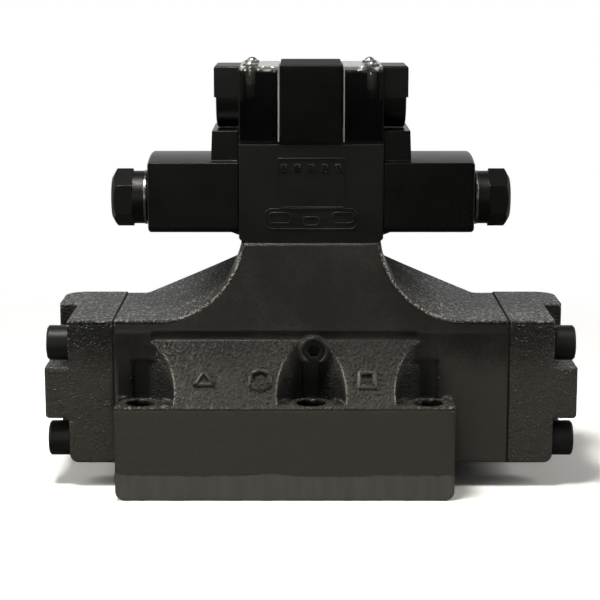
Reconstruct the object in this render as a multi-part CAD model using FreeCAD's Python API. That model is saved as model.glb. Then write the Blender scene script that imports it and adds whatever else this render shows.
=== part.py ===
import FreeCAD, Part
import math
import os

from FreeCAD import Placement, Rotation, Vector

# Pilot operated directional valve, in millimetres.
# X runs along both spools, the front is at -Y, and Z=0 is the mounting face.
# X=0 is the middle of the spool bore, and both spool axes lie in the plane Y=0.

# Bolt pattern of the mounting face: four corner bolts and two middle bolts
bolt_pitch_x = 130.2
bolt_pitch_y = 92.1
bolt_centre_x = -11.9
middle_bolt_offset = 11.9
bolt_hole_diameter = 13.5
spotface_diameter = 21.0
spotface_depth = 0.8
bolt_head_clearance = 19.4
bolt_head_room = 18.0

# Ports of the mounting face
main_port_pitch = 23.8
main_port_y = 28.55
main_port_diameter = 23.5
main_port_depths = (38.0, 37.0, 36.0, 35.0)
pilot_port_diameter = 11.2
pilot_port_depths = (17.0, 16.0)
port_x_place = (-59.5, -26.95)
port_y_place = (35.7, 27.05)
main_seal_section = 2.3
main_seal_recess = 29.2
pilot_seal_section = 1.7
pilot_seal_recess = 15.6
seal_slack = 0.1

# Mounting flange
flange_end_margin = 11.15
flange_side_margin = 12.95
flange_height = 43.0
flange_round = 1.8
flange_foot_round = 4.5

# Spool housing and the neck that carries the pilot valve
housing_length = 180.0
housing_depth = 76.0
main_axis_z = 44.0
housing_above_axis = 34.0
housing_below_axis = 32.0
lean_above_axis = 29.0
neck_above_axis = 68.0
neck_top_width = 64.0
neck_top_depth = 51.0
flare_foot_x = 66.0
flare_sag = 8.4
ridge_foot_x = 80.5
ridge_top_x = 34.0
ridge_top_drop = 12.5
flare_edge_round = 2.0
ridge_edge_round = 2.4
flare_crease_round = 8.0

# Rough aprons between the bolt pockets, and the pockets themselves
apron_top_drop = 4.0
apron_reach = 19.5
pocket_radius = 15.5
brow_groove_rise = 1.5
brow_groove_radius = 8.0
brow_groove_depth = 0.9
brow_groove_margin = 5.0

# Main spool bore with its five ring chambers
bore_diameter = 28.0
chamber_diameter = 40.0
chamber_width = 12.0
core_passage_diameter = 12.0
core_passage_below_axis = 13.0
tank_bridge_above_axis = 26.0
tank_bridge_diameter = 9.0

# Main spool
main_stroke = 10.0
spool_fit = 0.03
spool_rod_diameter = 17.0
spool_overlap = 2.0
spool_guide_length = 16.0
spool_socket_diameter = 14.0
spool_socket_depth = 6.0
balance_groove_width = 0.8
balance_groove_depth = 0.5

# Centring springs of the main spool
collar_diameter = 25.0
collar_thickness = 2.5
collar_spigot_length = 5.0
spring_wire = 2.8
spring_mean_diameter = 20.6
spring_turns = 3.5
spring_end_gap = 0.1

# End covers
cover_plate_thickness = 20.7
cover_back_thickness = 29.6
cover_band_thickness = 31.4
cover_band_below_axis = 11.0
cover_band_above_axis = 12.5
cover_step_y = 6.0
cover_corner_round = 10.0
cover_edge_round = 1.8
cover_foot_round = 4.0
cover_seam_chamfer = 0.5
cover_chamber_diameter = 32.0
cover_chamber_depth = 15.0
cover_seal_mean = 37.0
cover_seal_section = 2.4
end_line_above_axis = 26.0
end_line_diameter = 4.0
end_line_seal_mean = 6.4
end_line_seal_section = 1.4
end_line_turn = 7.0

# Socket head screws of the end covers
cover_screw_pitch_y = 58.0
cover_screw_pitch_z = 45.0
cover_screw_thread = 10.0
cover_screw_grip = 18.0
cover_screw_head = 16.0
cover_screw_head_height = 10.0
cover_screw_socket = 8.0
cover_screw_hole = 11.0
cover_counterbore = 17.5
cover_screw_turn = 13.0
end_room_gap = 0.5

# Plug in the front wall
plug_above_axis = 21.0
plug_diameter = 10.0
plug_length = 9.0
plug_boss_diameter = 13.6
plug_boss_reach = 4.0
plug_socket = 5.0
plug_drilling = 5.0

# Port and bolt pattern between the main stage and the pilot valve
pilot_bolt_x = 20.25
pilot_bolt_y = 15.5
pilot_bolt_thread = 5.0
pilot_bolt_hole = 5.5
pilot_bolt_grip = 11.0
pilot_bolt_head = 8.5
pilot_bolt_head_height = 5.0
pilot_bolt_counterbore = 9.6
pilot_bolt_socket = 4.0
pressure_place = (1.25, 10.4)
return_place = (1.25, -10.4)
outlet_a_x = -7.55
outlet_b_x = 9.95
pilot_hole_diameter = 5.0
pilot_ring_mean = 9.6
pilot_ring_section = 1.8

# Pilot valve body
pilot_length = 66.0
pilot_depth = 48.0
pilot_height = 45.0
pilot_axis_height = 18.0
pilot_foot_chamfer = 2.0
pilot_edge_round = 0.8
pilot_lug_reach = 6.5
pilot_lug_depth = 28.0
pilot_bore_diameter = 12.0
pilot_spool_fit = 0.02
pilot_spool_half_length = 24.0
pilot_spool_rod = 7.0
pilot_chamber_pitch = 8.75
pilot_chamber_width = 4.0
pilot_chamber_diameter = 19.0
pilot_overlap = 0.8
pilot_gallery_height = 5.0
pilot_stroke = 2.8

# Core tube, armature, push pin and centring spring of each side
tube_socket_depth = 5.0
tube_diameter = 20.0
tube_spigot_diameter = 20.8
tube_spigot_bore = 14.0
tube_seal_section = 1.8
tube_thread_diameter = 16.0
tube_end_x = 90.0
pole_length = 9.8
pole_clearance = 0.4
armature_diameter = 14.6
armature_fit = 0.1
armature_length = 18.0
push_pin_diameter = 3.8
push_pin_hole = 4.3
plate_diameter = 11.4
plate_thickness = 1.0
pilot_spring_wire = 1.2
pilot_spring_mean = 9.8
pilot_spring_turns = 3.0

# Coils
coil_gap = 0.2
coil_end_x = 74.6
coil_depth = 47.0
coil_below_axis = 13.5
coil_above_axis = 18.5
coil_crown = 2.6
coil_bottom_round = 2.5
coil_end_round = 1.6
coil_bore_fit = 0.1
block_width = 12.6
block_taper = 0.7
block_depth = 40.0
block_rise = 14.3

# Coil nuts with their washers and seals
nut_washer_thickness = 1.1
nut_washer_diameter = 25.2
nut_seal_section = 1.8
nut_seal_mean = 21.4
nut_collar_diameter = 24.6
nut_collar_length = 5.3
nut_hexagon = 23.4
nut_length = 15.1
nut_chamfer_radius = 9.5
nut_hole_diameter = 9.0

# Override pins
override_diameter = 4.0
override_fit = 0.04
override_inner_gap = 0.5
override_proud = 1.5
override_travel = 3.0
override_collar_diameter = 6.4
override_collar_length = 1.5
override_clearance = 0.7

# Terminal box on top of the pilot valve
gasket_thickness = 0.8
box_floor_thickness = 2.5
box_floor_depth = 42.4
box_wall_thickness = 2.4
box_wall_depth = 40.0
entry_boss_radius = 14.7
entry_boss_rise = 17.3
entry_boss_end_x = 44.3
entry_boss_step = 0.8
entry_boss_top_drop = 0.2
entry_boss_round = 1.2
entry_thread_diameter = 20.8
post_x = 27.6
post_y = 15.0
post_diameter = 4.4
window_seat_gap = 0.2
box_screw_x = 20.0
box_screw_thread = 4.0
box_screw_hole = 4.5
box_screw_head = 7.0
box_screw_head_height = 2.6
box_screw_grip = 6.0

# Windows, middle cap and their screws
window_inner_x = 14.6
window_outer_x = 32.2
window_depth = 46.0
window_wall = 1.6
window_end_gap = 0.2
window_height = 33.8
window_foot_gap = 0.4
cap_width = 28.4
cap_depth = 50.0
cap_wall = 1.8
cap_rise = 1.0
cap_edge_round = 0.8
window_screw_thread = 2.6
window_screw_head = 5.4
window_screw_head_height = 2.5
window_screw_grip = 9.0

# Terminal block and lamps
block_body_width = 20.0
block_body_depth = 28.0
block_body_height = 13.0
clamp_pitch = 8.0
clamp_diameter = 4.4
clamp_height = 2.0
lamp_x = 20.0
lamp_y = -10.0
lamp_diameter = 5.0
lamp_height = 9.0

# Places that follow from the sizes above
flange_left = bolt_centre_x - bolt_pitch_x / 2 - flange_end_margin
flange_right = bolt_centre_x + bolt_pitch_x / 2 + flange_end_margin
flange_front = -bolt_pitch_y / 2 - flange_side_margin
flange_back = -flange_front
seam_x = housing_length / 2
spool_half_length = seam_x - main_stroke
housing_side = housing_depth / 2
housing_top = main_axis_z + housing_above_axis
housing_bottom = main_axis_z - housing_below_axis
lean_start_z = main_axis_z + lean_above_axis
neck_top_z = main_axis_z + neck_above_axis
ridge_top_z = neck_top_z - ridge_top_drop
apron_top_z = lean_start_z - apron_top_drop
brow_groove_z = apron_top_z + brow_groove_rise
core_passage_z = main_axis_z - core_passage_below_axis
tank_bridge_z = main_axis_z + tank_bridge_above_axis
end_line_z = main_axis_z + end_line_above_axis
plug_z = main_axis_z + plug_above_axis
cover_band_low = main_axis_z - cover_band_below_axis
cover_band_high = main_axis_z + cover_band_above_axis
chamber_end_x = seam_x + cover_chamber_depth
cover_plate_x = seam_x + cover_plate_thickness
pilot_end_x = pilot_length / 2
pilot_axis_z = neck_top_z + pilot_axis_height
pilot_gallery_z = neck_top_z + pilot_gallery_height
pilot_top_z = neck_top_z + pilot_height
coil_bottom_z = pilot_axis_z - coil_below_axis
coil_side_top_z = pilot_axis_z + coil_above_axis
block_top_z = coil_side_top_z + block_rise
box_floor_z = pilot_top_z + gasket_thickness
box_floor_top = box_floor_z + box_floor_thickness
window_bottom_z = box_floor_z + window_foot_gap
window_top_z = window_bottom_z + window_height
window_seat_z = window_top_z - window_wall - window_seat_gap
cap_top_z = window_top_z + cap_rise
entry_boss_z = box_floor_top + entry_boss_rise
entry_boss_top_z = window_top_z - entry_boss_top_drop
pole_face_x = pilot_end_x + pole_length
armature_inner_x = pole_face_x + pilot_stroke + pole_clearance
armature_outer_x = armature_inner_x + armature_length
override_inner_x = armature_outer_x + pilot_stroke + override_clearance + override_travel
armature_room_end = override_inner_x - override_inner_gap
washer_x = coil_end_x + nut_seal_section
nut_x = washer_x + nut_washer_thickness
nut_end_x = nut_x + nut_length
front_bolts = [
    bolt_centre_x - bolt_pitch_x / 2,
    bolt_centre_x + middle_bolt_offset,
    bolt_centre_x + bolt_pitch_x / 2,
]
back_bolts = [
    bolt_centre_x - bolt_pitch_x / 2,
    bolt_centre_x - middle_bolt_offset,
    bolt_centre_x + bolt_pitch_x / 2,
]
main_ports = [
    (0.0, main_port_y),
    (-2 * main_port_pitch, main_port_y),
    (-main_port_pitch, -main_port_y),
    (main_port_pitch, -main_port_y),
]
pilot_holes = [
    pressure_place,
    return_place,
    (outlet_a_x, 0.0),
    (outlet_b_x, 0.0),
]
pilot_bolts = [
    (side_x * pilot_bolt_x, side_y * pilot_bolt_y)
    for side_x in (-1, 1)
    for side_y in (-1, 1)
]

axis_x = Vector(1, 0, 0)
axis_y = Vector(0, 1, 0)
axis_z = Vector(0, 0, 1)


def box(x0, x1, y0, y1, z0, z1):
    return Part.makeBox(x1 - x0, y1 - y0, z1 - z0, Vector(x0, y0, z0))


def rod_x(diameter, x0, x1, y, z):
    return Part.makeCylinder(diameter / 2, x1 - x0, Vector(x0, y, z), axis_x)


def rod_y(diameter, y0, y1, x, z):
    return Part.makeCylinder(diameter / 2, y1 - y0, Vector(x, y0, z), axis_y)


def rod_z(diameter, z0, z1, x, y):
    return Part.makeCylinder(diameter / 2, z1 - z0, Vector(x, y, z0), axis_z)


def rod_between(diameter, start, end):
    run = end - start
    return Part.makeCylinder(diameter / 2, run.Length, start, run)


def eight_sided(middle, width):
    # The section of a pressed seal or a wire, flat where it touches its neighbours
    corner = width / 2 / math.cos(math.pi / 8)
    points = []
    for step in range(8):
        angle = math.pi / 8 + step * math.pi / 4
        points.append(middle + Vector(corner * math.cos(angle), 0, corner * math.sin(angle)))
    return Part.makePolygon(points + [points[0]])


def ring(mean_diameter, section, centre, axis):
    outline = eight_sided(Vector(mean_diameter / 2, 0, 0), section)
    seal = Part.Face(outline).revolve(Vector(0, 0, 0), axis_z, 360)
    seal.Placement = Placement(centre, Rotation(axis_z, axis))
    return seal


def turned(profile, z):
    # Profile points are (place along X, radius), turned about the line Y=0 at height z
    points = [Vector(x, 0, z + radius) for x, radius in profile]
    face = Part.Face(Part.makePolygon(points + [points[0]]))
    return face.revolve(Vector(0, 0, z), axis_x, 360)


def hexagon(across_flats, x0, x1, z, turn):
    radius = across_flats / math.sqrt(3)
    points = []
    for step in range(6):
        angle = math.radians(60 * step + turn)
        points.append(Vector(x0, radius * math.cos(angle), z + radius * math.sin(angle)))
    face = Part.Face(Part.makePolygon(points + [points[0]]))
    return face.extrude(Vector(x1 - x0, 0, 0))


def fused(shapes):
    return shapes[0].fuse(shapes[1:]).removeSplitter()


def edges_where(shape, test):
    return [edge for edge in shape.Edges if test(edge.CenterOfMass)]


def near(a, b):
    return abs(a - b) < 0.01


def left_of(shape):
    # Every left hand piece is the mirror image of the right hand one
    return shape.mirror(Vector(0, 0, 0), axis_x)


def helical_spring(x0, x1, mean_diameter, wire, turns, z):
    # A wire swept along a helix between two flat faces, both square to X
    height = x1 - x0 - wire * 1.1 - 2 * spring_end_gap
    helix = Part.makeHelix(height / turns, height, mean_diameter / 2)
    section = eight_sided(Vector(mean_diameter / 2, 0, 0), wire)
    spring = Part.Wire(helix.Edges).makePipeShell([section], True, True)
    start = Vector(x0 + spring_end_gap + wire * 0.55, 0, z)
    spring.Placement = Placement(start, Rotation(axis_y, 90))
    return spring


def socket_screw(head, head_height, thread, length, socket, turn):
    # A screw along +X whose head sits on the plane X=0, with a hexagon socket in the head
    edge = head_height * 0.08
    body = turned(
        [
            (-length, 0),
            (-length, thread / 2 - thread * 0.08),
            (-length + thread * 0.08, thread / 2),
            (0, thread / 2),
            (0, head / 2),
            (head_height - edge, head / 2),
            (head_height, head / 2 - edge),
            (head_height, 0),
        ],
        0,
    )
    recess = hexagon(socket, head_height * 0.5, head_height + 1, 0, turn)
    return body.cut(recess)


def placed(shape, place, rotation):
    copy = shape.copy()
    copy.Placement = Placement(place, rotation)
    return copy


# Main body: housing, neck, flange and aprons are one casting


def side_profile_prism():
    # Seen from the end: upright walls that lean in towards the pilot face
    points = [
        Vector(-seam_x, -housing_side, housing_bottom),
        Vector(-seam_x, -housing_side, lean_start_z),
        Vector(-seam_x, -neck_top_depth / 2, neck_top_z),
        Vector(-seam_x, neck_top_depth / 2, neck_top_z),
        Vector(-seam_x, housing_side, lean_start_z),
        Vector(-seam_x, housing_side, housing_bottom),
    ]
    face = Part.Face(Part.makePolygon(points + [points[0]]))
    return face.extrude(Vector(housing_length, 0, 0))


def split_arc(foot, top):
    # The hollow flare beside the neck, as two arcs of one circle from foot to top
    chord = top - foot
    inward = Vector(-chord.z, 0, chord.x).normalize()
    if inward.z > 0:
        inward = inward * -1
    middle = (foot + top) * 0.5 + inward * flare_sag
    curve = Part.Arc(foot, middle, top).toShape()
    first = curve.FirstParameter
    last = curve.LastParameter
    halfway = (first + last) / 2
    return [
        Part.Edge(curve.Curve, first, halfway),
        Part.Edge(curve.Curve, halfway, last),
    ]


def front_outline(y):
    neck_side = neck_top_width / 2
    right = split_arc(Vector(flare_foot_x, y, housing_top), Vector(neck_side, y, neck_top_z))
    left = split_arc(Vector(-neck_side, y, neck_top_z), Vector(-flare_foot_x, y, housing_top))
    edges = [
        Part.makeLine((-seam_x, y, housing_bottom), (seam_x, y, housing_bottom)),
        Part.makeLine((seam_x, y, housing_bottom), (seam_x, y, housing_top)),
        Part.makeLine((seam_x, y, housing_top), (flare_foot_x, y, housing_top)),
        right[0],
        right[1],
        Part.makeLine((neck_side, y, neck_top_z), (-neck_side, y, neck_top_z)),
        left[0],
        left[1],
        Part.makeLine((-flare_foot_x, y, housing_top), (-seam_x, y, housing_top)),
        Part.makeLine((-seam_x, y, housing_top), (-seam_x, y, housing_bottom)),
    ]
    return Part.Wire(edges)


def back_outline(y):
    neck_side = neck_top_width / 2
    points = [
        Vector(-seam_x, y, housing_bottom),
        Vector(seam_x, y, housing_bottom),
        Vector(seam_x, y, housing_top),
        Vector(ridge_foot_x, y, housing_top),
        Vector(ridge_top_x, y, ridge_top_z),
        Vector(neck_side, y, neck_top_z),
        Vector(-neck_side, y, neck_top_z),
        Vector(-ridge_top_x, y, ridge_top_z),
        Vector(-ridge_foot_x, y, housing_top),
        Vector(-seam_x, y, housing_top),
    ]
    return Part.makePolygon(points + [points[0]])


def upper_casting():
    outlines = [front_outline(-housing_side), back_outline(housing_side)]
    flares = Part.makeLoft(outlines, True, True)
    casting = side_profile_prism().common(flares)
    crease = edges_where(
        casting,
        lambda c: near(c.y, 0) and near(c.z, housing_top) and flare_foot_x - 1 < abs(c.x) < ridge_foot_x,
    )
    casting = casting.makeFillet(flare_crease_round, crease)
    front = edges_where(
        casting,
        lambda c: c.y < -neck_top_depth / 2 - 0.5 and c.z > housing_top - 0.5 and abs(c.x) < seam_x - 1,
    )
    casting = casting.makeFillet(flare_edge_round, front)
    ridge = edges_where(
        casting,
        lambda c: c.y > neck_top_depth / 2 + 0.5 and housing_top - 0.5 < c.z < ridge_top_z,
    )
    return casting.makeFillet(ridge_edge_round, ridge)


def flange():
    plate = box(flange_left, flange_right, flange_front, flange_back, 0, flange_height)
    foot = edges_where(
        plate,
        lambda c: near(c.z, 0) and (near(c.x, flange_left) or near(c.x, flange_right)),
    )
    plate = plate.makeFillet(flange_foot_round, foot)
    rim = edges_where(
        plate,
        lambda c: near(c.z, flange_height) and (near(c.y, flange_front) or near(c.y, flange_back)),
    )
    return plate.makeFillet(flange_round, rim)


def apron(side, bolts):
    # A sloping rough wedge from the housing wall down to the flange edge, cut by the bolt pockets
    wall = side * (housing_side - 1)
    foot = side * (housing_side + apron_reach)
    points = [
        Vector(bolts[0], wall, flange_height - flange_round - 1),
        Vector(bolts[0], foot, flange_height - flange_round - 1),
        Vector(bolts[0], foot, flange_height),
        Vector(bolts[0], side * housing_side, apron_top_z),
        Vector(bolts[0], wall, apron_top_z),
    ]
    face = Part.Face(Part.makePolygon(points + [points[0]]))
    wedge = face.extrude(Vector(bolts[-1] - bolts[0], 0, 0))
    pocket_y = side * (housing_side + pocket_radius)
    pockets = [
        rod_z(2 * pocket_radius, flange_height, apron_top_z + 1, x, pocket_y)
        for x in bolts
    ]
    return wedge.cut(pockets)


def brow_groove(side, bolts):
    # A soft hollow line where the ground wall ends above the aprons
    y = side * (housing_side + brow_groove_radius - brow_groove_depth)
    low = bolts[0] + brow_groove_margin
    high = bolts[-1] - brow_groove_margin
    return rod_x(2 * brow_groove_radius, low, high, y, brow_groove_z)


def chamber_tools():
    tools = [rod_x(bore_diameter, -seam_x, seam_x, 0, main_axis_z)]
    for step in range(-2, 3):
        middle = step * main_port_pitch
        low = middle - chamber_width / 2
        high = middle + chamber_width / 2
        tools.append(rod_x(chamber_diameter, low, high, 0, main_axis_z))
    return tools


def main_port_tools():
    tools = []
    for (x, y), depth in zip(main_ports, main_port_depths):
        inner_y = math.copysign(bore_diameter / 2, y)
        low_y = min(inner_y, y)
        high_y = max(inner_y, y)
        tools.append(rod_z(main_port_diameter, 0, depth, x, y))
        tools.append(rod_z(main_seal_recess, 0, main_seal_section + seal_slack, x, y))
        tools.append(rod_y(core_passage_diameter, low_y, high_y, x, core_passage_z))
    for (x, y), depth in zip((port_x_place, port_y_place), pilot_port_depths):
        tools.append(rod_z(pilot_port_diameter, 0, depth, x, y))
        tools.append(rod_z(pilot_seal_recess, 0, pilot_seal_section + seal_slack, x, y))
    return tools


def tank_bridge_tools():
    reach = 2 * main_port_pitch
    chamber_top = main_axis_z + chamber_diameter / 2
    bridge = rod_x(tank_bridge_diameter, -reach, reach, 0, tank_bridge_z)
    risers = [
        rod_z(tank_bridge_diameter, chamber_top - 4, tank_bridge_z, side * reach, 0)
        for side in (-1, 1)
    ]
    return [bridge] + risers


def pilot_line_tools():
    # Drillings from the pilot face: to both ends, to the pressure chamber and to the plug
    tools = []
    rise = (seam_x + outlet_a_x) * 0.2
    for side, x in ((-1, outlet_a_x), (1, outlet_b_x)):
        start = Vector(side * seam_x, 0, end_line_z)
        end = Vector(x, 0, end_line_z + rise)
        tools.append(rod_between(end_line_diameter, start, end))
        tools.append(rod_z(pilot_hole_diameter, end.z, neck_top_z, x, 0))
    pressure_x, pressure_y = pressure_place
    chamber_top = main_axis_z + chamber_diameter / 2
    tools.append(rod_z(pilot_hole_diameter, chamber_top - 4, neck_top_z, pressure_x, pressure_y))
    return_x, return_y = return_place
    tools.append(rod_z(pilot_hole_diameter, plug_z, neck_top_z, return_x, return_y))
    tools.append(rod_y(plug_drilling, -housing_side, return_y, return_x, plug_z))
    return tools


def screw_hole_tools():
    tools = []
    for side in (-1, 1):
        for step_y in (-0.5, 0.5):
            for step_z in (-0.5, 0.5):
                y = step_y * cover_screw_pitch_y
                z = main_axis_z + step_z * cover_screw_pitch_z
                inner = side * (seam_x - cover_screw_grip - 3)
                outer = side * seam_x
                low = min(inner, outer)
                high = max(inner, outer)
                tools.append(rod_x(cover_screw_thread, low, high, y, z))
    for x, y in pilot_bolts:
        tools.append(rod_z(pilot_bolt_thread, neck_top_z - pilot_bolt_grip - 2, neck_top_z, x, y))
    return tools


def flange_bolt_tools():
    tools = []
    face_z = flange_height - spotface_depth
    for side, bolts in ((-1, front_bolts), (1, back_bolts)):
        y = side * bolt_pitch_y / 2
        for x in bolts:
            tools.append(rod_z(bolt_hole_diameter, 0, flange_height, x, y))
            tools.append(rod_z(spotface_diameter, face_z, flange_height, x, y))
            tools.append(rod_z(bolt_head_clearance, face_z, face_z + bolt_head_room, x, y))
    return tools


def end_rooms():
    # Keeps the flange clear of the covers and their screws where it is longer than the housing
    far = seam_x + cover_band_thickness + cover_screw_head_height
    half = housing_side + end_room_gap
    low = housing_bottom - end_room_gap
    return [
        box(seam_x, far, -half, half, low, flange_height + end_room_gap),
        box(-far, -seam_x, -half, half, low, flange_height + end_room_gap),
    ]


def plug_seat_y():
    return -housing_side - plug_boss_reach


def main_body():
    plug_x = return_place[0]
    boss = rod_y(plug_boss_diameter, plug_seat_y(), -housing_side + 2, plug_x, plug_z)
    grooves = [brow_groove(-1, front_bolts), brow_groove(1, back_bolts)]
    parts = [
        upper_casting().cut(grooves),
        flange().cut(end_rooms()),
        apron(-1, front_bolts),
        apron(1, back_bolts),
        boss,
    ]
    plug_hole = rod_y(plug_diameter, plug_seat_y(), plug_seat_y() + plug_length, plug_x, plug_z)
    tools = [plug_hole]
    tools += chamber_tools()
    tools += main_port_tools()
    tools += tank_bridge_tools()
    tools += pilot_line_tools()
    tools += screw_hole_tools()
    tools += flange_bolt_tools()
    return fused(parts).cut(tools)


def front_plug():
    plug_x = return_place[0]
    screw = rod_y(plug_diameter, plug_seat_y() + 0.6, plug_seat_y() + plug_length, plug_x, plug_z)
    socket = hexagon(plug_socket, 0, plug_length * 0.5, 0, 0)
    turn = Rotation(axis_z, 90)
    socket = placed(socket, Vector(plug_x, plug_seat_y() + 0.6, plug_z), turn)
    return screw.cut(socket)


# Moving parts of the main stage


def main_spool():
    radius = bore_diameter / 2 - spool_fit
    rod = spool_rod_diameter / 2
    land_in = main_port_pitch - chamber_width / 2 - spool_overlap
    land_out = main_port_pitch + chamber_width / 2 + spool_overlap
    guide_in = spool_half_length - spool_guide_length
    half = [
        (0, rod),
        (land_in, rod),
        (land_in, radius),
        (land_out, radius),
        (land_out, rod),
        (guide_in, rod),
        (guide_in, radius),
    ]
    groove_start = guide_in + spool_guide_length * 0.4
    for step in range(2):
        start = groove_start + step * 3 * balance_groove_width
        half += [
            (start, radius),
            (start, radius - balance_groove_depth),
            (start + balance_groove_width, radius - balance_groove_depth),
            (start + balance_groove_width, radius),
        ]
    half += [
        (spool_half_length - 0.8, radius),
        (spool_half_length, radius - 0.8),
        (spool_half_length, spool_socket_diameter / 2),
        (spool_half_length - spool_socket_depth, spool_socket_diameter / 2),
        (spool_half_length - spool_socket_depth, 0),
        (0, 0),
    ]
    right = turned(half, main_axis_z)
    return fused([right, left_of(right)])


def right_collar():
    spigot = spool_socket_diameter / 2 - 0.1
    return turned(
        [
            (spool_half_length - collar_spigot_length, 0),
            (spool_half_length - collar_spigot_length, spigot),
            (spool_half_length, spigot),
            (spool_half_length, collar_diameter / 2),
            (spool_half_length + collar_thickness, collar_diameter / 2),
            (spool_half_length + collar_thickness, spigot),
            (spool_half_length + collar_thickness + 1.5, spigot),
            (spool_half_length + collar_thickness + 1.5, 0),
        ],
        main_axis_z,
    )


def right_main_spring():
    start = spool_half_length + collar_thickness
    return helical_spring(
        start, chamber_end_x, spring_mean_diameter, spring_wire, spring_turns, main_axis_z
    )


# End covers and what fastens and seals them


def cover_screw_places():
    return [
        (step_y * cover_screw_pitch_y, main_axis_z + step_z * cover_screw_pitch_z)
        for step_y in (-0.5, 0.5)
        for step_z in (-0.5, 0.5)
    ]


def cover_plate():
    plate = box(seam_x, cover_plate_x, -housing_side, housing_side, housing_bottom, housing_top)
    foot = edges_where(plate, lambda c: near(c.x, cover_plate_x) and near(c.z, housing_bottom))
    plate = plate.makeFillet(cover_foot_round, foot)
    front_top = edges_where(plate, lambda c: near(c.y, -housing_side) and near(c.z, housing_top))
    plate = plate.makeFillet(cover_edge_round, front_top)
    seam = edges_where(plate, lambda c: near(c.x, seam_x) and near(c.y, -housing_side))
    return plate.makeChamfer(cover_seam_chamfer, seam)


def cover_band():
    start = seam_x + cover_plate_thickness / 2
    end = seam_x + cover_band_thickness
    band = box(start, end, -housing_side, housing_side, cover_band_low, cover_band_high)
    low = edges_where(band, lambda c: near(c.x, end) and near(c.z, cover_band_low))
    return band.makeFillet(cover_edge_round, low)


def cover_back():
    start = seam_x + cover_plate_thickness / 2
    end = seam_x + cover_back_thickness
    block = box(start, end, cover_step_y, housing_side, housing_bottom, housing_top)
    foot = edges_where(block, lambda c: near(c.x, end) and near(c.z, housing_bottom))
    return block.makeFillet(cover_foot_round, foot)


def cover_corner_cutter():
    # Takes the sharp outer back corner off over the whole height of the cover
    end = seam_x + cover_back_thickness
    corner = box(
        end - cover_corner_round,
        seam_x + cover_band_thickness + 1,
        housing_side - cover_corner_round,
        housing_side + 1,
        housing_bottom - 1,
        housing_top + 1,
    )
    keep = rod_z(
        2 * cover_corner_round,
        housing_bottom - 1,
        housing_top + 1,
        end - cover_corner_round,
        housing_side - cover_corner_round,
    )
    return corner.cut(keep)


def right_end_cover():
    cover = fused([cover_plate(), cover_band(), cover_back()]).cut(cover_corner_cutter())
    tools = [rod_x(cover_chamber_diameter, seam_x, chamber_end_x, 0, main_axis_z)]
    groove_depth = cover_seal_section - seal_slack
    groove_outer = rod_x(
        cover_seal_mean + cover_seal_section, seam_x, seam_x + groove_depth, 0, main_axis_z
    )
    groove_inner = rod_x(
        cover_seal_mean - cover_seal_section, seam_x, seam_x + groove_depth, 0, main_axis_z
    )
    tools.append(groove_outer.cut(groove_inner))
    turn_x = seam_x + end_line_turn
    tools.append(rod_x(end_line_diameter, seam_x, turn_x, 0, end_line_z))
    tools.append(rod_z(end_line_diameter, main_axis_z, end_line_z, turn_x, 0))
    tools.append(
        rod_x(
            end_line_seal_mean + end_line_seal_section,
            seam_x,
            seam_x + end_line_seal_section - seal_slack,
            0,
            end_line_z,
        )
    )
    far = seam_x + cover_band_thickness + 1
    for y, z in cover_screw_places():
        tools.append(rod_x(cover_screw_hole, seam_x, far, y, z))
        tools.append(rod_x(cover_counterbore, cover_plate_x, far, y, z))
    return cover.cut(tools)


def right_cover_seals():
    # One ring round the spring chamber and one small ring round the end line
    compressed = 1 - seal_slack / cover_seal_section
    large = ring(
        cover_seal_mean,
        cover_seal_section * compressed,
        Vector(seam_x + cover_seal_section * compressed / 2, 0, main_axis_z),
        axis_x,
    )
    small_section = end_line_seal_section - seal_slack
    small = ring(
        end_line_seal_mean,
        small_section,
        Vector(seam_x + small_section / 2, 0, end_line_z),
        axis_x,
    )
    return Part.makeCompound([large, small])


def right_cover_screws():
    length = cover_plate_thickness + cover_screw_grip
    screws = []
    for number, (y, z) in enumerate(cover_screw_places()):
        screw = socket_screw(
            cover_screw_head,
            cover_screw_head_height,
            cover_screw_thread,
            length,
            cover_screw_socket,
            number * cover_screw_turn,
        )
        screws.append(placed(screw, Vector(cover_plate_x, y, z), Rotation()))
    return Part.makeCompound(screws)


# Seals of the mounting face


def port_seals():
    mean = main_seal_recess - main_seal_section - seal_slack
    section = main_seal_section - seal_slack
    return Part.makeCompound(
        [ring(mean, section, Vector(x, y, section / 2 + seal_slack), axis_z) for x, y in main_ports]
    )


def pilot_line_seals():
    mean = pilot_seal_recess - pilot_seal_section - seal_slack
    section = pilot_seal_section - seal_slack
    places = (port_x_place, port_y_place)
    return Part.makeCompound(
        [ring(mean, section, Vector(x, y, section / 2 + seal_slack), axis_z) for x, y in places]
    )


# Pilot valve body and its fasteners


def pilot_block():
    block = box(
        -pilot_end_x,
        pilot_end_x,
        -pilot_depth / 2,
        pilot_depth / 2,
        neck_top_z,
        pilot_top_z,
    )
    foot = edges_where(
        block, lambda c: near(abs(c.x), pilot_end_x) and near(c.z, neck_top_z) and near(c.y, 0)
    )
    block = block.makeChamfer(pilot_foot_chamfer, foot)
    corners = edges_where(
        block, lambda c: near(abs(c.x), pilot_end_x) and near(abs(c.y), pilot_depth / 2)
    )
    return block.makeFillet(pilot_edge_round, corners)


def pilot_lug(side):
    # Small web under each coil where the foot of the pilot body flares out
    low = neck_top_z + pilot_foot_chamfer
    points = [
        Vector(side * (pilot_end_x - 2), -pilot_lug_depth / 2, low),
        Vector(side * pilot_end_x, -pilot_lug_depth / 2, low),
        Vector(side * (pilot_end_x + pilot_lug_reach), -pilot_lug_depth / 2, coil_bottom_z),
        Vector(side * (pilot_end_x - 2), -pilot_lug_depth / 2, coil_bottom_z),
    ]
    face = Part.Face(Part.makePolygon(points + [points[0]]))
    return face.extrude(Vector(0, pilot_lug_depth, 0))


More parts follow.
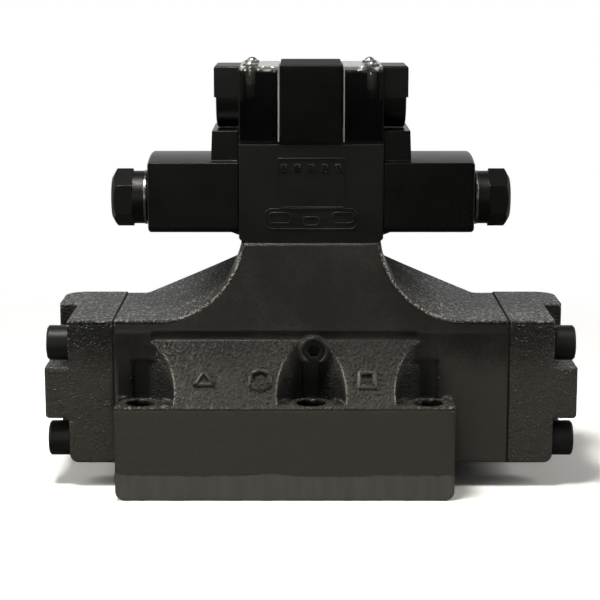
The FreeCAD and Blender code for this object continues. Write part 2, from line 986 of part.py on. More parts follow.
def pilot_chamber_tools():
    reach = pilot_spool_half_length
    tools = [rod_x(pilot_bore_diameter, -reach, reach, 0, pilot_axis_z)]
    for side in (-1, 1):
        inner = side * (pilot_end_x - tube_socket_depth)
        outer = side * pilot_end_x
        pocket = side * reach
        tools.append(rod_x(tube_spigot_diameter, min(inner, outer), max(inner, outer), 0, pilot_axis_z))
        tools.append(rod_x(tube_spigot_bore, min(inner, pocket), max(inner, pocket), 0, pilot_axis_z))
    for step in range(-2, 3):
        middle = step * pilot_chamber_pitch
        low = middle - pilot_chamber_width / 2
        high = middle + pilot_chamber_width / 2
        tools.append(rod_x(pilot_chamber_diameter, low, high, 0, pilot_axis_z))
    return tools


def pilot_port_tools():
    tools = []
    chamber_bottom = pilot_axis_z - pilot_chamber_diameter / 2
    pressure_x, pressure_y = pressure_place
    return_x, return_y = return_place
    tools.append(rod_z(pilot_hole_diameter, neck_top_z, pilot_axis_z, pressure_x, pressure_y))
    tools.append(rod_z(pilot_hole_diameter, neck_top_z, pilot_gallery_z, return_x, return_y))
    for x in (outlet_a_x, outlet_b_x):
        tools.append(rod_z(pilot_hole_diameter, neck_top_z, chamber_bottom + 2, x, 0))
    tank = 2 * pilot_chamber_pitch
    tools.append(rod_x(pilot_hole_diameter - 0.6, -tank, tank, return_y, pilot_gallery_z))
    for side in (-1, 1):
        tools.append(
            rod_z(pilot_hole_diameter - 0.6, pilot_gallery_z, pilot_axis_z, side * tank, return_y)
        )
    recess = pilot_ring_section - seal_slack
    for x, y in pilot_holes:
        ring_room = pilot_ring_mean + pilot_ring_section
        tools.append(rod_z(ring_room, neck_top_z, neck_top_z + recess, x, y))
    return tools


def pilot_body():
    body = fused([pilot_block(), pilot_lug(-1), pilot_lug(1)])
    tools = pilot_chamber_tools()
    tools += pilot_port_tools()
    for x, y in pilot_bolts:
        sink = pilot_top_z - pilot_bolt_head_height - 1
        tools.append(rod_z(pilot_bolt_hole, neck_top_z, pilot_top_z, x, y))
        tools.append(rod_z(pilot_bolt_counterbore, sink, pilot_top_z, x, y))
    for side in (-1, 1):
        low = pilot_top_z - box_screw_grip - 2
        tools.append(rod_z(box_screw_thread, low, pilot_top_z, side * box_screw_x, 0))
    return body.cut(tools)


def pilot_screws():
    sink = pilot_top_z - pilot_bolt_head_height - 1
    length = sink - neck_top_z + pilot_bolt_grip
    upright = Rotation(axis_y, -90)
    screws = []
    for number, (x, y) in enumerate(pilot_bolts):
        screw = socket_screw(
            pilot_bolt_head,
            pilot_bolt_head_height,
            pilot_bolt_thread,
            length,
            pilot_bolt_socket,
            number * 17,
        )
        screws.append(placed(screw, Vector(x, y, sink), upright))
    return Part.makeCompound(screws)


def pilot_port_seals():
    section = pilot_ring_section - seal_slack
    return Part.makeCompound(
        [
            ring(pilot_ring_mean, section, Vector(x, y, neck_top_z + section / 2), axis_z)
            for x, y in pilot_holes
        ]
    )


# Moving parts of the pilot valve


def pilot_spool():
    radius = pilot_bore_diameter / 2 - pilot_spool_fit
    rod = pilot_spool_rod / 2
    half_chamber = pilot_chamber_width / 2
    land_in = pilot_chamber_pitch - half_chamber - pilot_overlap
    land_out = pilot_chamber_pitch + half_chamber + pilot_overlap
    guide_in = 2 * pilot_chamber_pitch + half_chamber
    right = turned(
        [
            (0, 0),
            (0, rod),
            (land_in, rod),
            (land_in, radius),
            (land_out, radius),
            (land_out, rod),
            (guide_in, rod),
            (guide_in, radius),
            (pilot_spool_half_length - 0.4, radius),
            (pilot_spool_half_length, radius - 0.4),
            (pilot_spool_half_length, 0),
        ],
        pilot_axis_z,
    )
    return fused([right, left_of(right)])


def right_spring_plate():
    start = pilot_spool_half_length
    end = start + plate_thickness
    plate = rod_x(plate_diameter, start, end, 0, pilot_axis_z)
    return plate.cut(rod_x(push_pin_diameter, start, end, 0, pilot_axis_z))


def right_pilot_spring():
    start = pilot_spool_half_length + plate_thickness
    return helical_spring(
        start, pilot_end_x, pilot_spring_mean, pilot_spring_wire, pilot_spring_turns, pilot_axis_z
    )


def right_push_pin():
    start = pilot_spool_half_length
    return rod_x(push_pin_diameter, start, armature_inner_x, 0, pilot_axis_z)


def right_armature():
    radius = armature_diameter / 2
    slot = armature_diameter * 0.14
    body = turned(
        [
            (armature_inner_x, 0),
            (armature_inner_x, radius - 0.6),
            (armature_inner_x + 0.6, radius),
            (armature_outer_x - 0.6, radius),
            (armature_outer_x, radius - 0.6),
            (armature_outer_x, 0),
        ],
        pilot_axis_z,
    )
    relief = box(
        armature_inner_x - 1,
        armature_outer_x + 1,
        -slot / 2,
        slot / 2,
        pilot_axis_z + radius - slot,
        pilot_axis_z + radius + 1,
    )
    return body.cut(relief)


# Core tubes, coils and nuts


def right_core_tube():
    socket_x = pilot_end_x - tube_socket_depth
    spigot = tube_spigot_diameter / 2
    thread = tube_thread_diameter / 2
    groove_x = socket_x + tube_socket_depth * 0.3
    room = armature_diameter / 2 + armature_fit
    guide = override_diameter / 2 + override_fit
    collar_room = override_collar_diameter / 2 + 0.2
    collar_end = override_inner_x + override_collar_length + override_travel + 0.5
    collar_start = override_inner_x
    outer = turned(
        [
            (socket_x, 0),
            (socket_x, spigot),
            (groove_x, spigot),
            (groove_x, spigot - tube_seal_section),
            (groove_x + tube_seal_section, spigot - tube_seal_section),
            (groove_x + tube_seal_section, spigot),
            (pilot_end_x, spigot),
            (pilot_end_x, tube_diameter / 2),
            (coil_end_x, tube_diameter / 2),
            (coil_end_x, thread),
            (tube_end_x, thread),
            (tube_end_x, 0),
        ],
        pilot_axis_z,
    )
    tools = [
        rod_x(tube_spigot_bore, socket_x, pilot_end_x, 0, pilot_axis_z),
        rod_x(push_pin_hole, pilot_end_x, pole_face_x, 0, pilot_axis_z),
        rod_x(2 * room, pole_face_x, armature_room_end, 0, pilot_axis_z),
        rod_x(2 * guide, armature_room_end, tube_end_x, 0, pilot_axis_z),
        rod_x(2 * collar_room, collar_start, collar_end, 0, pilot_axis_z),
    ]
    return outer.cut(tools)


def right_tube_seal():
    groove_x = pilot_end_x - tube_socket_depth + tube_socket_depth * 0.3
    mean = tube_spigot_diameter - tube_seal_section
    centre = Vector(groove_x + tube_seal_section / 2, 0, pilot_axis_z)
    return ring(mean, tube_seal_section, centre, axis_x)


def coil_profile(x):
    side = coil_depth / 2
    foot = coil_bottom_round
    low = coil_bottom_z
    bend = foot * (1 - math.sqrt(0.5))
    edges = [
        Part.makeLine((x, -side, low + foot), (x, -side, coil_side_top_z)),
        Part.Arc(
            Vector(x, -side, coil_side_top_z),
            Vector(x, 0, coil_side_top_z + coil_crown),
            Vector(x, side, coil_side_top_z),
        ).toShape(),
        Part.makeLine((x, side, coil_side_top_z), (x, side, low + foot)),
        Part.Arc(
            Vector(x, side, low + foot),
            Vector(x, side - bend, low + bend),
            Vector(x, side - foot, low),
        ).toShape(),
        Part.makeLine((x, side - foot, low), (x, foot - side, low)),
        Part.Arc(
            Vector(x, foot - side, low),
            Vector(x, bend - side, low + bend),
            Vector(x, -side, low + foot),
        ).toShape(),
    ]
    return Part.Face(Part.Wire(edges))


def right_coil():
    start = pilot_end_x + coil_gap
    body = coil_profile(start).extrude(Vector(coil_end_x - start, 0, 0))
    rim = edges_where(body, lambda c: near(c.x, coil_end_x))
    body = body.makeFillet(coil_end_round, rim)
    top_x = start + block_width - block_taper
    points = [
        Vector(start, -block_depth / 2, coil_side_top_z - 3),
        Vector(start + block_width, -block_depth / 2, coil_side_top_z - 3),
        Vector(top_x, -block_depth / 2, block_top_z),
        Vector(start, -block_depth / 2, block_top_z),
    ]
    block = Part.Face(Part.makePolygon(points + [points[0]])).extrude(Vector(0, block_depth, 0))
    hole = rod_x(tube_diameter + 2 * coil_bore_fit, start, coil_end_x, 0, pilot_axis_z)
    return fused([body, block]).cut(hole)


def right_nut_seal():
    centre = Vector(coil_end_x + nut_seal_section / 2, 0, pilot_axis_z)
    return ring(nut_seal_mean, nut_seal_section, centre, axis_x)


def right_coil_washer():
    disc = rod_x(nut_washer_diameter, washer_x, nut_x, 0, pilot_axis_z)
    return disc.cut(rod_x(tube_thread_diameter + 0.2, washer_x, nut_x, 0, pilot_axis_z))


def right_coil_nut():
    collar_end = nut_x + nut_collar_length
    collar = rod_x(nut_collar_diameter, nut_x, collar_end, 0, pilot_axis_z)
    hexagon_body = hexagon(nut_hexagon, collar_end, nut_end_x, pilot_axis_z, 30)
    corner = nut_hexagon / math.sqrt(3)
    slope = (corner - nut_chamfer_radius) * math.tan(math.radians(30))
    envelope = turned(
        [
            (collar_end - 1, 0),
            (collar_end - 1, corner + 1),
            (nut_end_x - slope, corner + 0.01),
            (nut_end_x, nut_chamfer_radius),
            (nut_end_x, 0),
        ],
        pilot_axis_z,
    )
    nut = fused([collar, hexagon_body.common(envelope)])
    tools = [
        rod_x(tube_thread_diameter, nut_x, tube_end_x, 0, pilot_axis_z),
        rod_x(nut_hole_diameter, tube_end_x, nut_end_x, 0, pilot_axis_z),
    ]
    return nut.cut(tools)


def right_override_pin():
    radius = override_diameter / 2
    start = override_inner_x
    collar = override_collar_diameter / 2
    collar_start = start + override_travel
    collar_end = collar_start + override_collar_length
    end = tube_end_x + override_proud
    return turned(
        [
            (start, 0),
            (start, radius),
            (collar_start, radius),
            (collar_start, collar),
            (collar_end, collar),
            (collar_end, radius),
            (end - 0.5, radius),
            (end, radius - 0.5),
            (end, 0),
        ],
        pilot_axis_z,
    )


# Terminal box


def entry_boss(side):
    # Round below its axis and square above it, with the lower half set back a little
    wall = pilot_end_x - box_wall_thickness
    lower_end = entry_boss_end_x - entry_boss_step
    lower = rod_x(2 * entry_boss_radius, wall, lower_end, 0, entry_boss_z)
    rim = edges_where(lower, lambda c: near(c.x, lower_end))
    lower = lower.makeFillet(entry_boss_round, rim)
    upper = box(
        window_outer_x + window_end_gap,
        entry_boss_end_x,
        -entry_boss_radius,
        entry_boss_radius,
        entry_boss_z,
        entry_boss_top_z,
    )
    corners = edges_where(
        upper, lambda c: near(c.z, entry_boss_top_z) and (abs(c.y) > 1 or c.x > lower_end)
    )
    upper = upper.makeFillet(entry_boss_round, corners)
    cut_off = box(
        wall - 1,
        entry_boss_end_x,
        -entry_boss_radius - 1,
        entry_boss_radius + 1,
        entry_boss_z,
        entry_boss_z + entry_boss_radius + 1,
    )
    boss = lower.cut(cut_off).fuse(upper).removeSplitter()
    return boss if side > 0 else left_of(boss)


def box_wall(side):
    inner = pilot_end_x - box_wall_thickness
    half = box_wall_depth / 2
    wall = box(inner, pilot_end_x, -half, half, box_floor_z, window_seat_z)
    return wall if side > 0 else left_of(wall)


def terminal_box():
    half = box_floor_depth / 2
    floor = box(-pilot_end_x, pilot_end_x, -half, half, box_floor_z, box_floor_top)
    posts = [
        rod_z(post_diameter, box_floor_z, window_seat_z, side_x * post_x, side_y * post_y)
        for side_x in (-1, 1)
        for side_y in (-1, 1)
    ]
    parts = [floor, box_wall(-1), box_wall(1), entry_boss(-1), entry_boss(1)]
    tools = []
    for side in (-1, 1):
        inner = side * (pilot_end_x - box_wall_thickness)
        outer = side * entry_boss_end_x
        low = min(inner, outer)
        high = max(inner, outer)
        tools.append(rod_x(entry_thread_diameter, low, high, 0, entry_boss_z))
        tools.append(rod_z(box_screw_hole, box_floor_z, box_floor_top, side * box_screw_x, 0))
    for x, y in pilot_bolts:
        tools.append(rod_z(pilot_bolt_counterbore, box_floor_z, box_floor_top, x, y))
    shell = fused(parts + posts).cut(tools)
    post_holes = [
        rod_z(
            window_screw_thread,
            window_seat_z - window_screw_grip - 1,
            window_seat_z,
            side_x * post_x,
            side_y * post_y,
        )
        for side_x in (-1, 1)
        for side_y in (-1, 1)
    ]
    return shell.cut(post_holes)


def box_gasket():
    half = box_floor_depth / 2
    sheet = box(-pilot_end_x, pilot_end_x, -half, half, pilot_top_z, box_floor_z)
    tools = [
        rod_z(pilot_bolt_counterbore, pilot_top_z, box_floor_z, x, y) for x, y in pilot_bolts
    ]
    tools += [
        rod_z(box_screw_hole, pilot_top_z, box_floor_z, side * box_screw_x, 0)
        for side in (-1, 1)
    ]
    return sheet.cut(tools)


def box_screws():
    length = box_floor_top - pilot_top_z + box_screw_grip
    upright = Rotation(axis_y, -90)
    screws = []
    for side in (-1, 1):
        screw = socket_screw(
            box_screw_head,
            box_screw_head_height,
            box_screw_thread,
            length,
            box_screw_thread * 0.6,
            side * 9,
        )
        screws.append(placed(screw, Vector(side * box_screw_x, 0, box_floor_top), upright))
    return Part.makeCompound(screws)


def right_window():
    # A clear hood with front, top and back panels, open at the bottom and at both ends
    half = window_depth / 2
    outer = box(window_inner_x, window_outer_x, -half, half, window_bottom_z, window_top_z)
    inner = box(
        window_inner_x - 1,
        window_outer_x + 1,
        window_wall - half,
        half - window_wall,
        window_bottom_z - 1,
        window_top_z - window_wall,
    )
    holes = [
        rod_z(window_screw_thread + 0.6, window_top_z - window_wall, window_top_z, post_x, side * post_y)
        for side in (-1, 1)
    ]
    return outer.cut([inner] + holes)


def window_screws():
    # Dome headed screws that hold the windows down on their posts
    radius = window_screw_head / 2
    rise = window_screw_head_height
    sphere_radius = (radius ** 2 + rise ** 2) / (2 * rise)
    screws = []
    for side_x in (-1, 1):
        for side_y in (-1, 1):
            x = side_x * post_x
            y = side_y * post_y
            centre = Vector(x, y, window_top_z + rise - sphere_radius)
            dome = Part.makeSphere(sphere_radius, centre)
            cap = rod_z(window_screw_head, window_top_z, window_top_z + rise, x, y)
            shank = rod_z(
                window_screw_thread,
                window_top_z - window_wall - window_screw_grip,
                window_top_z + rise / 2,
                x,
                y,
            )
            slot = box(
                x - radius, x + radius, y - 0.35, y + 0.35,
                window_top_z + rise * 0.55, window_top_z + rise + 1,
            )
            screws.append(fused([cap.common(dome), shank]).cut(slot))
    return Part.makeCompound(screws)


def middle_cap():
    side = cap_width / 2
    half = cap_depth / 2
    outer = box(-side, side, -half, half, window_bottom_z, cap_top_z)
    rim = edges_where(outer, lambda c: near(c.z, cap_top_z))
    rim += edges_where(outer, lambda c: near(abs(c.x), side) and near(abs(c.y), half))
    outer = outer.makeFillet(cap_edge_round, rim)
    inner = box(
        cap_wall - side,
        side - cap_wall,
        cap_wall - half,
        half - cap_wall,
        window_bottom_z - 1,
        cap_top_z - cap_wall,
    )
    under = box(
        -side - 1,
        side + 1,
        cap_wall - half,
        half - cap_wall,
        window_bottom_z - 1,
        box_floor_top + 0.1,
    )
    return outer.cut([inner, under])


def terminal_block():
    width = block_body_width / 2
    depth = block_body_depth / 2
    high = box_floor_top + block_body_height
    lower = box(-width, width, -depth, depth, box_floor_top, box_floor_top + block_body_height * 0.6)
    upper = box(-width * 0.55, width * 0.55, -depth, depth, box_floor_top, high)
    block = fused([lower, upper])
    slots = []
    for step in (-1, 0, 1):
        y = step * clamp_pitch
        slots.append(
            box(-width - 1, width + 1, y - 1.6, y + 1.6, box_floor_top + 2, box_floor_top + 5)
        )
    return block.cut(slots)


def terminal_clamps():
    # Clamping screws on the lower steps of the terminal block, three on each side
    width = block_body_width / 2
    low = box_floor_top + block_body_height * 0.6
    clamps = []
    for side in (-1, 1):
        for step in (-1, 0, 1):
            x = side * width * 0.77
            y = step * clamp_pitch
            head = rod_z(clamp_diameter, low, low + clamp_height, x, y)
            slot = box(
                x - clamp_diameter, x + clamp_diameter, y - 0.3, y + 0.3,
                low + clamp_height * 0.6, low + clamp_height + 1,
            )
            clamps.append(head.cut(slot))
    return Part.makeCompound(clamps)


def lamps():
    shapes = []
    for side in (-1, 1):
        x = side * lamp_x
        top = box_floor_top + lamp_height - lamp_diameter / 2
        stem = rod_z(lamp_diameter, box_floor_top, top, x, lamp_y)
        dome = Part.makeSphere(lamp_diameter / 2, Vector(x, lamp_y, top))
        shapes.append(fused([stem, dome]))
    return Part.makeCompound(shapes)


pieces = {
    "main_body": main_body(),
    "front_plug": front_plug(),
    "main_spool": main_spool(),
    "port_seals": port_seals(),
    "pilot_line_seals": pilot_line_seals(),
    "pilot_body": pilot_body(),
    "pilot_screws": pilot_screws(),
    "pilot_port_seals": pilot_port_seals(),
    "pilot_spool": pilot_spool(),
    "terminal_box": terminal_box(),
    "box_gasket": box_gasket(),
    "box_screws": box_screws(),
    "window_screws": window_screws(),
    "middle_cap": middle_cap(),
    "terminal_block": terminal_block(),
    "terminal_clamps": terminal_clamps(),
    "lamps": lamps(),
}

right_pieces = {
    "end_cover": right_end_cover(),
    "cover_screws": right_cover_screws(),
    "cover_seals": right_cover_seals(),
    "spring_collar": right_collar(),
    "main_spring": right_main_spring(),
    "spring_plate": right_spring_plate(),
    "pilot_spring": right_pilot_spring(),
    "push_pin": right_push_pin(),
    "armature": right_armature(),
    "core_tube": right_core_tube(),
    "tube_seal": right_tube_seal(),
    "coil": right_coil(),
    "nut_seal": right_nut_seal(),
    "coil_washer": right_coil_washer(),
    "coil_nut": right_coil_nut(),
    "override_pin": right_override_pin(),
    "window": right_window(),
}

for name, shape in right_pieces.items():
    pieces["right_" + name] = shape
    pieces["left_" + name] = left_of(shape)

os.makedirs("parts", exist_ok=True)
for name, shape in pieces.items():
    shape.exportStep("parts/" + name + ".step")
    print(name, len(shape.Solids), round(shape.Volume, 1), shape.isValid())
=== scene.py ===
import bmesh
import bpy
import math
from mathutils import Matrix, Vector


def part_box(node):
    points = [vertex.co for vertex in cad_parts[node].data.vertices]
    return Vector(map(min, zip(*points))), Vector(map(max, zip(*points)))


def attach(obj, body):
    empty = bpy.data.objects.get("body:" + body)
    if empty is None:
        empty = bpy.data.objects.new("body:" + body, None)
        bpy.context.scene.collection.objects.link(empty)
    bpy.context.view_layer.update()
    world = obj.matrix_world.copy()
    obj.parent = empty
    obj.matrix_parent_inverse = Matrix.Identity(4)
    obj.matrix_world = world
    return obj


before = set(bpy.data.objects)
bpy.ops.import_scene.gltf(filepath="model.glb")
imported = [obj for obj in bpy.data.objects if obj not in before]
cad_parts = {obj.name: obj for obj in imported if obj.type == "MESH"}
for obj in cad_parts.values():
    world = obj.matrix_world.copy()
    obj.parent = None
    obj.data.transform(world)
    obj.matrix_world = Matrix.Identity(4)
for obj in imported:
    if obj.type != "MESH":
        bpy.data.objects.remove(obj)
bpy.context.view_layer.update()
scene = bpy.context.scene
scene.view_settings.view_transform = "Standard"


# Camera and lamps
# The valve is seen from the front and a little above, through a long lens. One soft lamp hangs
# above it, two stand at its sides and a weak one stands low in front.

camera_place = Vector((-0.00507, -0.83778, 0.23857))
camera_pitch = math.radians(10.66)
camera_lens = 108.0
film_width = 36.0
lamp_colour = (1, 0.97, 0.91)

camera = bpy.data.objects.new("camera", bpy.data.cameras.new("camera"))
camera.data.lens = camera_lens
camera.data.sensor_width = film_width
camera.data.clip_start = 0.01
camera.location = camera_place
camera.rotation_euler = (math.pi / 2 - camera_pitch, 0, 0)
scene.collection.objects.link(camera)
scene.camera = camera


def soft_lamp(name, place, aim, size, watts):
    lamp = bpy.data.objects.new(name, bpy.data.lights.new(name, "AREA"))
    lamp.data.shape = "RECTANGLE"
    lamp.data.size, lamp.data.size_y = size
    lamp.data.energy = watts
    lamp.data.color = lamp_colour
    lamp.location = place
    lamp.rotation_euler = (Vector(aim) - Vector(place)).to_track_quat("-Z", "Y").to_euler()
    scene.collection.objects.link(lamp)


soft_lamp("top_lamp", place=(-0.20, -0.30, 1.05), aim=(0, 0, 0.08), size=(0.26, 0.20), watts=7)
soft_lamp("left_lamp", place=(-1.0, -0.18, 0.6), aim=(0, 0, 0.1), size=(0.16, 0.5), watts=4.6)
soft_lamp("right_lamp", place=(1.0, -0.18, 0.6), aim=(0, 0, 0.1), size=(0.16, 0.5), watts=3.6)
soft_lamp("low_lamp", place=(-0.3, -1.4, 0.35), aim=(0, 0, 0.02), size=(0.9, 0.2), watts=1.0)


# Floor and backdrop
# One plain pale sheet lies under the valve and curves up behind it. The camera sees it white a
# little way off; glossy surfaces see it grey behind the valve and dark in front, and so is the
# room around it.

floor_half_width = 3.0
floor_front = -2.5
floor_back = 2.2
backdrop_height = 3.0
backdrop_steps = 24
shadow_reach = (0.2, 0.5)
mirror_reach = (0.1, 0.6)
mirror_grey = 0.62
plain_white = (1, 1, 1, 1)
floor_bright = (1.5, 1.5, 1.5, 1)
floor_lit = (0.85, 0.85, 0.85, 1)
floor_dark = (0.06, 0.06, 0.055, 1)
room_back = (0.62, 0.93)
room_dim = 0.05
room_bright = 0.55


class Signal:
    """One output of a material's nodes. Sums and products of signals add their Math nodes."""

    def __init__(self, tree, socket=None):
        self.tree = tree
        self.socket = socket

    def add(self, kind, settings=None, inputs=None, output=0):
        node = self.tree.nodes.new(kind)
        for name, value in (settings or {}).items():
            setattr(node, name, value)
        for key, value in (inputs or {}).items():
            if isinstance(value, Signal):
                self.tree.links.new(value.socket, node.inputs[key])
            else:
                node.inputs[key].default_value = value
        return Signal(self.tree, node.outputs[output] if node.outputs else None)

    def maths(self, operation, first, second):
        # Works on one or two numbers; the absolute value leaves the second unread
        return self.add("ShaderNodeMath", {"operation": operation}, {0: first, 1: second})

    def __add__(self, other):
        return self.maths("ADD", self, other)

    def __radd__(self, other):
        return self.maths("ADD", other, self)

    def __sub__(self, other):
        return self.maths("SUBTRACT", self, other)

    def __rsub__(self, other):
        return self.maths("SUBTRACT", other, self)

    def __mul__(self, other):
        return self.maths("MULTIPLY", self, other)

    def __rmul__(self, other):
        return self.maths("MULTIPLY", other, self)

    def __abs__(self):
        return self.maths("ABSOLUTE", self, 0)


def start_material(name):
    material = bpy.data.materials.new(name)
    material.use_nodes = True
    material.node_tree.nodes.clear()
    return material, Signal(material.node_tree)


def place_on(start, axis=None):
    # The place on the object, or one part of it
    place = start.add("ShaderNodeTexCoord", output="Object")
    return part_of(start, place, axis) if axis else place


def part_of(start, vector, axis):
    return start.add("ShaderNodeSeparateXYZ", None, {"Vector": vector}, axis)


def steps(start, value, low, high):
    # Runs smoothly from 0 to 1 while value goes from low to high
    return start.add(
        "ShaderNodeMapRange",
        {"interpolation_type": "SMOOTHSTEP"},
        {"Value": value, "From Min": low, "From Max": high},
    )


def mix_shaders(start, share, first, second):
    return start.add("ShaderNodeMixShader", None, {0: share, 1: first, 2: second})


floor_mesh = bmesh.new()
front_left = floor_mesh.verts.new((-floor_half_width, floor_front, 0))
front_right = floor_mesh.verts.new((floor_half_width, floor_front, 0))
floor_edge = floor_mesh.edges.new((front_left, front_right))
ground = bmesh.ops.extrude_edge_only(floor_mesh, edges=[floor_edge])["geom"]
far_verts = [v for v in ground if isinstance(v, bmesh.types.BMVert)]
bmesh.ops.translate(floor_mesh, verts=far_verts, vec=(0, floor_back - floor_front, 0))
far_edges = [
    e for e in ground if isinstance(e, bmesh.types.BMEdge) and all(v in far_verts for v in e.verts)
]
bmesh.ops.spin(
    floor_mesh,
    geom=far_verts + far_edges,
    cent=(0, floor_back, backdrop_height / 2),
    axis=(1, 0, 0),
    angle=math.pi / 2,
    steps=backdrop_steps,
)
floor_data = bpy.data.meshes.new("floor")
floor_mesh.to_mesh(floor_data)
floor_mesh.free()
for face in floor_data.polygons:
    face.use_smooth = True
floor = bpy.data.objects.new("floor", floor_data)
scene.collection.objects.link(floor)

floor_material, start = start_material("pale_floor")
distance = start.add(
    "ShaderNodeVectorMath", {"operation": "LENGTH"}, {0: place_on(start)}, "Value"
)
near_floor = start.add("ShaderNodeBsdfDiffuse", None, {"Color": floor_bright})
white = start.add("ShaderNodeEmission", None, {"Color": plain_white, "Strength": 1.0})
grey = start.add("ShaderNodeEmission", None, {"Color": plain_white, "Strength": mirror_grey})
lighting = start.add("ShaderNodeBsdfDiffuse", None, {"Color": floor_lit})
dark_front = start.add("ShaderNodeBsdfDiffuse", None, {"Color": floor_dark})
seen = mix_shaders(start, steps(start, distance, *shadow_reach), near_floor, white)
backward = steps(start, place_on(start, "Y"), *mirror_reach)
mirrored = mix_shaders(start, backward, dark_front, grey)
camera_ray = start.add("ShaderNodeLightPath", output="Is Camera Ray")
glossy_ray = start.add("ShaderNodeLightPath", output="Is Glossy Ray")
shown = mix_shaders(start, camera_ray, lighting, seen)
whole = mix_shaders(start, glossy_ray, shown, mirrored)
start.add("ShaderNodeOutputMaterial", None, {"Surface": whole})
floor.data.materials.append(floor_material)

world = bpy.data.worlds.new("room")
world.use_nodes = True
scene.world = world
world.node_tree.nodes.clear()
start = Signal(world.node_tree)
looking = start.add("ShaderNodeTexCoord", output="Generated")
backward = steps(start, part_of(start, looking, "Y"), *room_back)
white, dim, bright = (
    start.add("ShaderNodeBackground", None, {"Color": plain_white, "Strength": strength})
    for strength in (1.0, room_dim, room_bright)
)
around = mix_shaders(start, backward, dim, bright)
camera_ray = start.add("ShaderNodeLightPath", output="Is Camera Ray")
whole = mix_shaders(start, camera_ray, around, white)
start.add("ShaderNodeOutputWorld", None, {"Surface": whole})


# Main casting and end covers
# The body, its flange and the two end covers are iron castings under a thin black coating.
# Sand grain shows on the hollows, slopes and covers; the front wall was milled and is smoother,
# and a ground band, a little lighter, runs round the foot of the flange.

iron_dark = (0.0125, 0.0120, 0.0095)
iron_light = (0.052, 0.0495, 0.0415)
iron_glint = (0.30, 0.30, 0.28)
iron_rim_highlight = (0.42, 0.42, 0.38)
iron_shade_and_seam = (0.004, 0.004, 0.003)
foot_dull = (0.090, 0.086, 0.075)
foot_bright = (0.108, 0.104, 0.091)
iron_round = 0.0026
grain_depth = 0.0006
soft_end = 0.001

# Places on the casting. A pair gives the two ends of a soft change or of a stretch.
plug_low, plug_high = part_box("front_plug")
plug_x = (plug_low[0] + plug_high[0]) / 2
cover_seam, housing_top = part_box("right_end_cover")[0][0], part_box("right_end_cover")[1][2]
seam_widths = (0.0003, 0.0007)
top_edge_low, top_edge_high = housing_top - 0.0030, housing_top + 0.0015
apron_top = Vector((0, -0.038, 0.069))
apron_slope = Vector((0, 0.6, 0.8))
apron_half_width = 0.0835
neck_reach = (0.034, 0.066)
low_part = (0.040, 0.075)
flare_high = 0.1085
pocket_ends = (-0.0885, 0.0690)
pocket_floor = (0.0422, 0.0432)
pocket_depth = (0.001, 0.006)
pocket_fade_up = (0.050, 0.067)
pocket_fade_right = (0.052, 0.068)
pocket_rim_heights = (0.0435, 0.0645)
pocket_rim_depth = (0.0020, 0.0040)
plug_clear = (0.0095, 0.0115)
hole_ends = (-0.0870, 0.0630)
hole_heights = (0.0015, 0.0425)
hole_depth = (0.0560, 0.0570)
hole_rim_heights = (0.0425, 0.0452)
hole_rim_depth = (0.0550, 0.0560)
flange_depth = (0.050, 0.053)
foot_top = (0.0145, 0.0157)

# Parts of a face's normal, and levels of the noises, in the same way
slope_facing = (0.25, 0.70)
top_facing = (0.45, 0.95)
milled_facing = (-0.94, -0.88)
flare_begins = (-0.93, -0.80)
flare_ends = (-0.45, -0.20)
edge_facing = (0.30, 0.50)
bend_levels = (0.03, 0.16)
stain_and_low_light_levels = (0.42, 0.90)
glint_levels = (0.55, 0.66)
rim_levels = (0.38, 0.58)
streak_levels = (0.30, 0.70)


def shade(start, inputs):
    # Ends a material: one Principled surface with these inputs
    surface = start.add("ShaderNodeBsdfPrincipled", None, inputs)
    start.add("ShaderNodeOutputMaterial", None, {"Surface": surface})


def dress(material, names):
    for name in names:
        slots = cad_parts[name].data.materials
        slots.clear()
        slots.append(material)


def noise(start, scale, detail, roughness, stretch=None):
    where = place_on(start)
    if stretch:
        where = start.add("ShaderNodeMapping", None, {"Vector": where, "Scale": stretch})
    values = {"Vector": where, "Scale": scale, "Detail": detail, "Roughness": roughness}
    return start.add("ShaderNodeTexNoise", None, values)


def blend_colours(start, mask, low, high):
    # In the Mix node, sockets 6 and 7 are the two colours and output 2 is the result
    low, high = (c if isinstance(c, Signal) else (*c, 1) for c in (low, high))
    return start.add("ShaderNodeMix", {"data_type": "RGBA"}, {0: mask, 6: low, 7: high}, 2)


def round_edges(start, radius, samples=6):
    return start.add("ShaderNodeBevel", {"samples": samples}, {"Radius": radius})


def bump(start, strength, depth, height, rounded=None):
    values = {"Strength": strength, "Distance": depth, "Height": height}
    if rounded:
        values["Normal"] = rounded
    return start.add("ShaderNodeBump", None, values)


def fades(start, value, low, high):
    # Runs smoothly from 1 to 0 while value goes from low to high
    return steps(start, -1 * value, -high, -low)


def between(start, value, low, high):
    # 1 where value lies between low and high, with soft ends
    rising = steps(start, value, low, low + soft_end)
    return rising * fades(start, value, high - soft_end, high)


def rim_bend(start, rounded):
    # From 0 on flat faces to 1 where the rounded normal leaves the true one, at a rim
    true_normal = start.add("ShaderNodeNewGeometry", output="Normal")
    along = start.add(
        "ShaderNodeVectorMath", {"operation": "DOT_PRODUCT"}, {0: rounded, 1: true_normal}, "Value"
    )
    return steps(start, 1 - along, *bend_levels)


